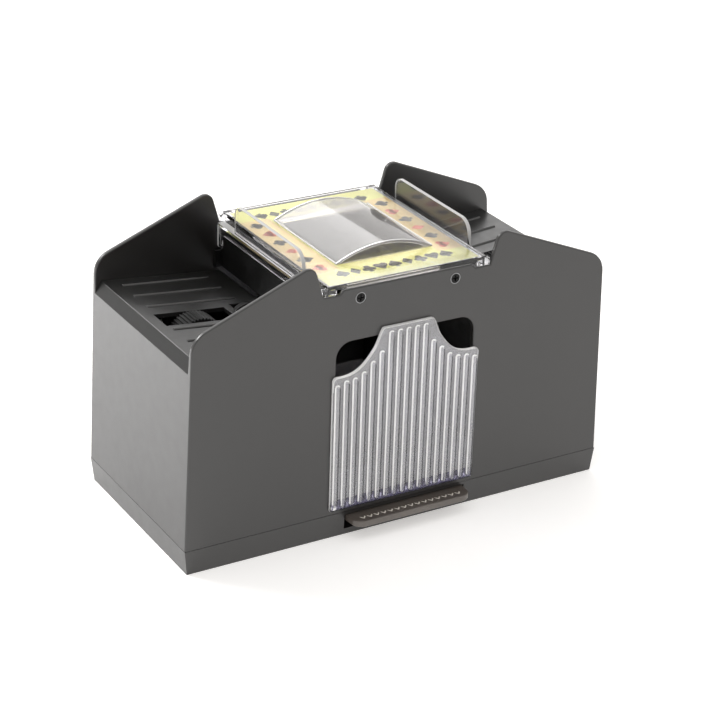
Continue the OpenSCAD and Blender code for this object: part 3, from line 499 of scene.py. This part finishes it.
# The crimped foot of the plate, where the mould was gated, and the bead of the gate at its left end.
CRIMPS, FOOT_H, FOOT_IN = 38, 5.0, 0.6
FOLD, SWELL, SINK = 0.65, 0.2, 0.3
FOOT_LOW = drawer_low.z + 0.2
lilac = clear("gate_styrene", (0.50, 0.48, 0.66), 1.6, 0.02, 0.06, 0.3, milk=0.06)
bm = bmesh.new()
bmesh.ops.create_grid(bm, x_segments=CRIMPS * 6, y_segments=8, size=1)
for v in bm.verts:
    fold = math.sin(v.co.x * CRIMPS * math.pi) * 0.5 + 0.5
    bulge = (SWELL + FOLD * fold) * math.sqrt(max(0.0, 1 - v.co.y * v.co.y))
    z = FOOT_LOW + (v.co.y + 1) * FOOT_H / 2
    v.co = (v.co.x * (HALF_FRONT - FOOT_IN), FRONT_Y + 0.05 - bulge, z)
bmesh.ops.recalc_face_normals(bm, faces=bm.faces)
grown = bmesh.ops.extrude_face_region(bm, geom=bm.faces[:])["geom"]
for v in only(BMVert, grown):
    v.co.y = FRONT_Y + SINK
bmesh.ops.recalc_face_normals(bm, faces=bm.faces)
finished(bm, "drawer_crimped_foot", "drawer", lilac)

BEAD_PLACE = Vector((2.0 - HALF_FRONT, FRONT_Y, drawer_low.z + 1.6))
BEAD_SHAPE = Matrix.Diagonal((1.7, 0.75, 1.3, 1))
bm = bmesh.new()
bmesh.ops.create_uvsphere(
    bm, u_segments=20, v_segments=12, radius=1, matrix=Matrix.Translation(BEAD_PLACE) @ BEAD_SHAPE
)
finished(bm, "drawer_gate_bead", "drawer", milky_white_and_painted_highlight)

# The body is a shallow open box with thin sides, close behind the plate.
SIDE = 1.8
BODY_X, BODY_TOP, BODY_LOW = 35.0, 34.0, 15.0
bm = bmesh.new()
bmesh.ops.create_cube(bm, size=1)
for v in bm.verts:
    v.co = (
        v.co.x * 2 * BODY_X,
        BACK_Y + 0.05 if v.co.y < 0 else drawer_high.y,
        BODY_LOW if v.co.z < 0 else BODY_TOP,
    )
lid = [f for f in bm.faces if f.normal.z > 0.9]
bmesh.ops.inset_region(bm, faces=lid, thickness=SIDE, use_even_offset=True)
sunk = bmesh.ops.extrude_face_region(bm, geom=lid)["geom"]
bmesh.ops.translate(bm, vec=(0, 0, SIDE + BODY_LOW - BODY_TOP), verts=only(BMVert, sunk))
bmesh.ops.delete(bm, geom=lid, context="FACES")
finished(bm, "drawer_body", "drawer", clear_drawer)

# ---- Cover -------------------------------------------------------------------
# The lift-off cover in clear polystyrene: a plate with a stepped rail at each end, a finger fin on
# each rail and a hook at each corner, in one moulding.

clear_plate = clear("clear_cover_styrene", (0.97, 0.97, 0.985), 1.52, 0.02, 0.07, 0.3)
# A milky white that paints highlights on the cover's edges and on the window's rim.
painted_edge_highlight = clear("cover_painted_edge_highlight", (0.98, 0.98, 0.98), 1.52, 0.04, 0.1, 0.1, milk=0.55)
FIN_Z, FIN_RIM_Z = 123.6, 123.9
RAIL_X, RAIL_Z = 38.5, 120
HOOK_X, HOOK_Y, HOOK_Z = 41, 45.2, 119
bm = from_cad("clear_cover", finest=0.05, whole=False)
rounded(bm, 0.25, 2, lambda middle, faces: middle.z > FIN_Z)
# The fin rims, the rail tops and the hook rims get the milky white: painted highlights.
for face in bm.faces:
    middle = face.calc_center_median()
    fin_rim = middle.z > FIN_RIM_Z and abs(face.normal.x) < 0.95
    rail_top = face.normal.z > 0.9 and middle.z < RAIL_Z and abs(middle.x) > RAIL_X
    at_hook = middle.z < HOOK_Z and abs(middle.x) > HOOK_X and abs(middle.y) > HOOK_Y
    hook_rim = at_hook and abs(face.normal.y) < 0.5
    face.material_index = int(fin_rim or rail_top or hook_rim)
cover = finished(bm, "cover_moulding", "cover", clear_plate)
cover.data.materials.append(painted_edge_highlight)
FLAT_FACE = 6 * MM * MM
for face in cover.data.polygons:
    face.use_smooth = face.area < FLAT_FACE
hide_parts("clear_cover")

# ---- Window ------------------------------------------------------------------
# The vaulted window, a lightly smoked clear moulding with a thin even wall, welded on the rim of the
# cover's opening. A milky white bead round both its arches and along its two feet paints a highlight on its
# rim.

smoked = clear("smoked_clear", (0.95, 0.93, 0.92), 1.6, 0.03, 0.1, 0.15, milk=0.1)
window_low, window_high = (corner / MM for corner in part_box("window_dome"))
WINDOW_T = 1.2
rise = window_high.z - window_low.z
radius = (window_high.x ** 2 + rise ** 2) / (2 * rise)
sweep = 2 * math.asin(window_high.x / radius)
bm = bmesh.new()
start = bm.verts.new((window_low.x, window_low.y, window_low.z))
bmesh.ops.spin(
    bm, geom=[start], cent=(0, window_low.y, window_high.z - radius), axis=(0, 1, 0), angle=sweep, steps=48
)
bmesh.ops.remove_doubles(bm, verts=bm.verts, dist=0.01)
arch = bm.faces.new(bm.verts)
grown = bmesh.ops.extrude_face_region(bm, geom=[arch])["geom"]
bmesh.ops.translate(bm, vec=(0, window_high.y - window_low.y, 0), verts=only(BMVert, grown))
bmesh.ops.recalc_face_normals(bm, faces=bm.faces)
bmesh.ops.delete(bm, geom=[f for f in bm.faces if f.normal.z < -0.9], context="FACES_ONLY")
window = finished(bm, "vaulted_window", "cover", smoked, crease=30)
shell = window.modifiers.new("wall", "SOLIDIFY")
shell.thickness = WINDOW_T * MM
shell.offset = -1
shell.use_even_offset = True
rounding = window.modifiers.new("rounding", "BEVEL")
rounding.width = 0.3 * MM
rounding.segments = 2
rounding.limit_method = "ANGLE"
rounding.angle_limit = math.radians(30)
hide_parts("window_dome")

BEAD_R = 0.36
BEAD_SWEEP = sweep * 0.985
BEAD_LENGTH = window_high.y - window_low.y - 1
lean = Matrix.Rotation(-math.asin(window_high.x / radius), 4, "Y")
bm = bmesh.new()
for y in (window_low.y + BEAD_R, window_high.y - BEAD_R):
    foot = Matrix.Translation((window_low.x + BEAD_R, y, window_low.z + BEAD_R))
    profile = bmesh.ops.create_circle(
        bm, cap_ends=True, segments=12, radius=BEAD_R, matrix=foot @ lean
    )["verts"]
    cap = profile[0].link_faces[0]
    bmesh.ops.spin(
        bm, geom=[cap, *cap.edges, *cap.verts],
        cent=(0, y, window_high.z - radius), axis=(0, 1, 0), angle=BEAD_SWEEP, steps=48,
    )
for x in (window_low.x + BEAD_R, window_high.x - BEAD_R):
    bmesh.ops.create_cone(
        bm, cap_ends=True, segments=12, radius1=BEAD_R, radius2=BEAD_R, depth=BEAD_LENGTH,
        matrix=Matrix.Translation((x, 0, window_low.z + BEAD_R)) @ Matrix.Rotation(math.pi / 2, 4, "X"),
    )
bmesh.ops.recalc_face_normals(bm, faces=bm.faces)
finished(bm, "window_rim_painted_highlight", "cover", painted_edge_highlight)

# ---- Label -------------------------------------------------------------------
# A printed card under the cover plate, cut out round the window. Lemon yellow at front and back and
# peach at the sides, with a row of card suits along each strip.

label_low, label_high = (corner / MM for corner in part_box("label_card"))
LABEL_TOP = label_high.z - 0.06
WINDOW_X, WINDOW_Y = 24.0, 28.0
SIDE_STRIP, END_STRIP = 25.0, 34.0
PAPER_T, INK_T = 0.2, 0.02

print_paper, tree, shader = new_material("label_print")
coords = tree.nodes.new("ShaderNodeTexCoord").outputs["Object"]
split = tree.nodes.new("ShaderNodeSeparateXYZ")
tree.links.new(coords, split.inputs["Vector"])
shares = []
for axis, strip, start, stop in (("X", SIDE_STRIP, 0.0, 1.0), ("Y", END_STRIP, 1.0, 0.0)):
    distance = tree.nodes.new("ShaderNodeMath")
    distance.operation = "ABSOLUTE"
    tree.links.new(split.outputs[axis], distance.inputs[0])
    low, high = (strip - 0.5) * MM, (strip + 0.5) * MM
    shares.append(ranged(tree, distance.outputs["Value"], low, high, start, stop))
both = tree.nodes.new("ShaderNodeMath")
both.operation = "MULTIPLY"
for share, socket in zip(shares, both.inputs):
    tree.links.new(share, socket)
at_side = both.outputs["Value"]
speckle = ranged(tree, noise(tree, coords, 0.8, 3), 0.3, 0.7)
lemon = blended(tree, speckle, (0.97, 0.95, 0.27), (1.0, 0.98, 0.34))
peach = blended(tree, speckle, (0.97, 0.72, 0.30), (1.0, 0.78, 0.36))
tree.links.new(blended(tree, at_side, lemon, peach), shader.inputs["Base Color"])
tree.links.new(ranged(tree, speckle, 0, 1, 0.35, 0.5), shader.inputs["Roughness"])

bm = bmesh.new()
bmesh.ops.create_grid(bm, x_segments=1, y_segments=1, size=1)
for v in bm.verts:
    v.co = (v.co.x * label_high.x, label_low.y if v.co.y < 0 else label_high.y, LABEL_TOP)
inner = bm.faces[:]
bmesh.ops.inset_region(bm, faces=inner, thickness=5, use_boundary=True)
for v in inner[0].verts:
    v.co.x = math.copysign(WINDOW_X, v.co.x)
    v.co.y = math.copysign(WINDOW_Y, v.co.y)
bmesh.ops.delete(bm, geom=inner, context="FACES")
label = finished(bm, "label_sheet", "cover", print_paper, smooth=False)
label.modifiers.new("card", "SOLIDIFY").thickness = PAPER_T * MM
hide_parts("label_card")


def ink(name, dark, light):
    """Printing ink laid a little unevenly."""
    material, tree, shader = new_material(name)
    coords = tree.nodes.new("ShaderNodeTexCoord").outputs["Object"]
    patchy = ranged(tree, noise(tree, coords, 1.1, 3), 0.3, 0.7)
    tree.links.new(blended(tree, patchy, dark, light), shader.inputs["Base Color"])
    tree.links.new(ranged(tree, patchy, 0, 1, 0.3, 0.5), shader.inputs["Roughness"])
    return material


olive_ink = ink("olive_ink", (0.02, 0.02, 0.01), (0.06, 0.055, 0.025))
red_ink = ink("red_ink", (0.70, 0.10, 0.04), (0.80, 0.18, 0.08))


def disc(bm, x, y, r, flat=1.0):
    """A printed spot."""
    bmesh.ops.create_circle(
        bm, cap_ends=True, segments=16, radius=r,
        matrix=Matrix.Translation((x, y, 0)) @ Matrix.Diagonal((1, flat, 1, 1)),
    )


def patch(bm, *corners):
    """A printed patch with straight sides."""
    bm.faces.new([bm.verts.new((*c, 0)) for c in corners])


def heart(bm):
    disc(bm, -0.25, 0.2, 0.29)
    disc(bm, 0.25, 0.2, 0.29)
    patch(bm, (-0.5, 0.06), (0, -0.55), (0.5, 0.06), (0, 0.25))


def diamond(bm):
    patch(bm, (-0.42, 0), (0, -0.56), (0.42, 0), (0, 0.56))


def spade(bm):
    disc(bm, -0.24, -0.1, 0.27)
    disc(bm, 0.24, -0.1, 0.27)
    patch(bm, (-0.48, 0.0), (0, -0.2), (0.48, 0.0), (0, 0.56))
    patch(bm, (-0.18, -0.56), (0.18, -0.56), (0.04, -0.1), (-0.04, -0.1))


def club(bm):
    disc(bm, -0.26, -0.1, 0.25)
    disc(bm, 0.26, -0.1, 0.25)
    disc(bm, 0, 0.27, 0.25)
    patch(bm, (-0.18, -0.56), (0.18, -0.56), (0.05, 0.1), (-0.05, 0.1))


def stamped(bm, one, place):
    """Adds a flat print to bm at its place, face up."""
    bmesh.ops.transform(one, matrix=place, verts=one.verts)
    for face in one.faces:
        if face.normal.z < 0:
            face.normal_flip()
    spare = bpy.data.meshes.new("spare")
    one.to_mesh(spare)
    one.free()
    bm.from_mesh(spare)
    bpy.data.meshes.remove(spare)


SUIT = 6.4
SIDE_SUITS, SIDE_PITCH, LEFT_ROW_X, RIGHT_ROW_X = 6, 11.0, -32.5, 31.5
END_SUITS, END_PITCH = 9, 6.6
END_ROW_Y = (label_low.y - WINDOW_Y) / 2


def suit(bm, shape, x, y, turn):
    """Prints one suit on the label, turned by turn degrees."""
    one = bmesh.new()
    shape(one)
    place = Matrix.Translation((x, y, LABEL_TOP + INK_T))
    stamped(bm, one, place @ Matrix.Rotation(math.radians(turn), 4, "Z") @ Matrix.Scale(SUIT, 4))


dark_print, red_print = bmesh.new(), bmesh.new()
for row_x, turn in ((LEFT_ROW_X, -90), (RIGHT_ROW_X, 90)):
    for i in range(SIDE_SUITS):
        y = ((SIDE_SUITS - 1) / 2 - i) * SIDE_PITCH
        if i % 2:
            suit(red_print, (heart, diamond)[i // 2 % 2], row_x, y, turn)
        else:
            suit(dark_print, (spade, club)[i // 2 % 2], row_x, y, turn)
for row_y, turn in ((END_ROW_Y, 0), (-END_ROW_Y, 180)):
    for i in range(END_SUITS):
        x = (i - (END_SUITS - 1) / 2) * END_PITCH
        suit(dark_print, (spade, diamond, club, heart)[i % 4], x, row_y, turn)
finished(dark_print, "label_dark_suits", "cover", olive_ink, smooth=False)
finished(red_print, "label_red_suits", "cover", red_ink, smooth=False)

# ---- Press bar ---------------------------------------------------------------
# The bar in front of the base that starts the motors, in brown-black ABS, with a row of pale printed
# arrows along its top. It turns on a steel pin in two ears of the base.

bar_brown = moulded("bar_abs", (0.085, 0.071, 0.060), (0.110, 0.093, 0.080), 0.28, 0.4)
CASE_FACE_Y = -50.5
bm = from_cad("press_bar")
rounded(bm, 0.6, 3, lambda middle, faces: middle.y < CASE_FACE_Y)
bar = finished(bm, "press_bar_moulding", "press_bar", bar_brown)
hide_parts("press_bar")

pale_ink = ink("pale_ink", (0.66, 0.62, 0.55), (0.85, 0.80, 0.72))
bar_low, bar_high = (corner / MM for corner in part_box("press_bar"))
bar_middle = (bar_low.x + bar_high.x) / 2
ARROWS, ARROW_PITCH = 15, 3.6
ARROW_Y, ARROW_Z = bar_low.y + 3.8, 10.01
bar_marks = bmesh.new()
for i in range(ARROWS):
    x = bar_middle + (i - (ARROWS - 1) / 2) * ARROW_PITCH
    arrow = bmesh.new()
    patch(arrow, (-1.3, 1.1), (-1.3, 0.2), (0, -1.4), (0, -0.4))
    patch(arrow, (1.3, 1.1), (0, -0.4), (0, -1.4), (1.3, 0.2))
    stamped(bar_marks, arrow, Matrix.Translation((x, ARROW_Y, ARROW_Z)))
finished(bar_marks, "press_bar_arrows", "press_bar", pale_ink, smooth=False)

# ---- Feed wheels -------------------------------------------------------------
# A moulded rubber tyre with fine ridges on a nylon hub, one under each tray. The exit rollers are
# grooved rubber sleeves on their own shafts.

rubber = moulded("tyre_rubber", (0.004, 0.004, 0.004), (0.008, 0.008, 0.008), 0.55, 0.75, 0.8, ior=1.4)
# Each ridge has four points: two on its crest and two in the groove beside it.
RIDGES = 48
TYRE_R, HUB_R, GROOVE = 12.8, 9.0, 0.7
for side in ("left", "right"):
    low, high = (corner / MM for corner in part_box(f"{side}_feed_tyre"))
    centre = (low + high) / 2
    bm = bmesh.new()
    bmesh.ops.create_circle(bm, segments=RIDGES * 4, radius=TYRE_R)
    for i, v in enumerate(bm.verts):
        if i % 4 in (2, 3):
            v.co *= (TYRE_R - GROOVE) / TYRE_R
    bmesh.ops.create_circle(bm, segments=RIDGES * 4, radius=HUB_R)
    bmesh.ops.bridge_loops(bm, edges=bm.edges[:])
    grown = bmesh.ops.extrude_face_region(bm, geom=bm.faces[:])["geom"]
    bmesh.ops.translate(bm, vec=(0, 0, high.y - low.y), verts=only(BMVert, grown))
    axle = Matrix.Translation((centre.x, high.y, centre.z)) @ Matrix.Rotation(math.pi / 2, 4, "X")
    bmesh.ops.transform(bm, matrix=axle, verts=bm.verts)
    bmesh.ops.recalc_face_normals(bm, faces=bm.faces)
    tyre = finished(bm, f"{side}_ridged_tyre", f"{side}_feed", rubber, crease=40)
    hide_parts(f"{side}_feed_tyre")
    roller = frame["nodes"][f"{side}_exit_roller"].data
    roller.materials.clear()
    roller.materials.append(rubber)

# ---- Metal, nylon and wiring -------------------------------------------------
# The drive, the cells and the leads inside the case: turned and pressed steel and brass, nylon gears and
# bushes, plastic cell sleeves and insulated leads. They keep their CAD shapes and get only a finish.


def metal(name, dark, light, smooth, rough, stretch):
    """Bare metal with fine drawing lines along one axis."""
    material, tree, shader = new_material(name)
    coords = tree.nodes.new("ShaderNodeTexCoord").outputs["Object"]
    lines = ranged(tree, noise(tree, coords, 1.5, 4, stretch), 0.3, 0.7)
    shader.inputs["Metallic"].default_value = 1
    tree.links.new(blended(tree, lines, dark, light), shader.inputs["Base Color"])
    tree.links.new(ranged(tree, lines, 0, 1, smooth, rough), shader.inputs["Roughness"])
    return material


steel = metal("drawn_steel", (0.42, 0.43, 0.44), (0.60, 0.61, 0.62), 0.25, 0.4, (1, 20, 1))
black_zinc = metal("black_zinc", (0.015, 0.015, 0.015), (0.04, 0.04, 0.04), 0.25, 0.4, (1, 1, 1))
brass = metal("turned_brass", (0.62, 0.42, 0.14), (0.80, 0.58, 0.24), 0.22, 0.35, (1, 12, 1))
nylon = moulded("natural_nylon", (0.72, 0.70, 0.62), (0.80, 0.78, 0.71), 0.4, 0.5, 0.3)
sleeve = moulded("cell_sleeve", (0.42, 0.25, 0.05), (0.50, 0.31, 0.08), 0.2, 0.3, 0.1)
lead_red = moulded("lead_insulation", (0.40, 0.02, 0.015), (0.50, 0.035, 0.03), 0.35, 0.5, 0.2)
finishes = {
    "steel": steel, "black_screw": black_zinc, "brass": brass, "nylon": nylon,
    "cell_sleeve": sleeve, "wire": lead_red, "black_plastic": matt_black,
}
for part in frame["record"]["subparts"]:
    node = frame["nodes"][part["node"]]
    finish = finishes.get(part["material_slot"])
    if finish and not node.hide_render:
        node.data.materials.clear()
        node.data.materials.append(finish)

# ---- Case screw rim highlights -----------------------------------------------
# The cross-head screws through the front and back walls are black-plated steel. A thin ring of bright
# steel round the rim of each head is a painted highlight.

SCREW_X, SCREW_Y, SCREW_Z = 24.15, 49.86, 116.0
HEAD_R, RIM_GLINT_R = 2.4, 0.14
bm = bmesh.new()
for x in (-SCREW_X, SCREW_X):
    for y in (-SCREW_Y, SCREW_Y):
        start = Matrix.Translation((x + HEAD_R, y, SCREW_Z))
        turned = bmesh.ops.create_circle(bm, segments=8, radius=RIM_GLINT_R, matrix=start)["verts"]
        bmesh.ops.spin(
            bm, geom=[*turned, *edges_at(turned)], cent=(x, y, SCREW_Z), axis=(0, 1, 0),
            angle=math.tau, steps=40, use_merge=True,
        )
bmesh.ops.remove_doubles(bm, verts=bm.verts, dist=0.001)
bmesh.ops.recalc_face_normals(bm, faces=bm.faces)
finished(bm, "case_screw_rim_highlights", "case", steel)
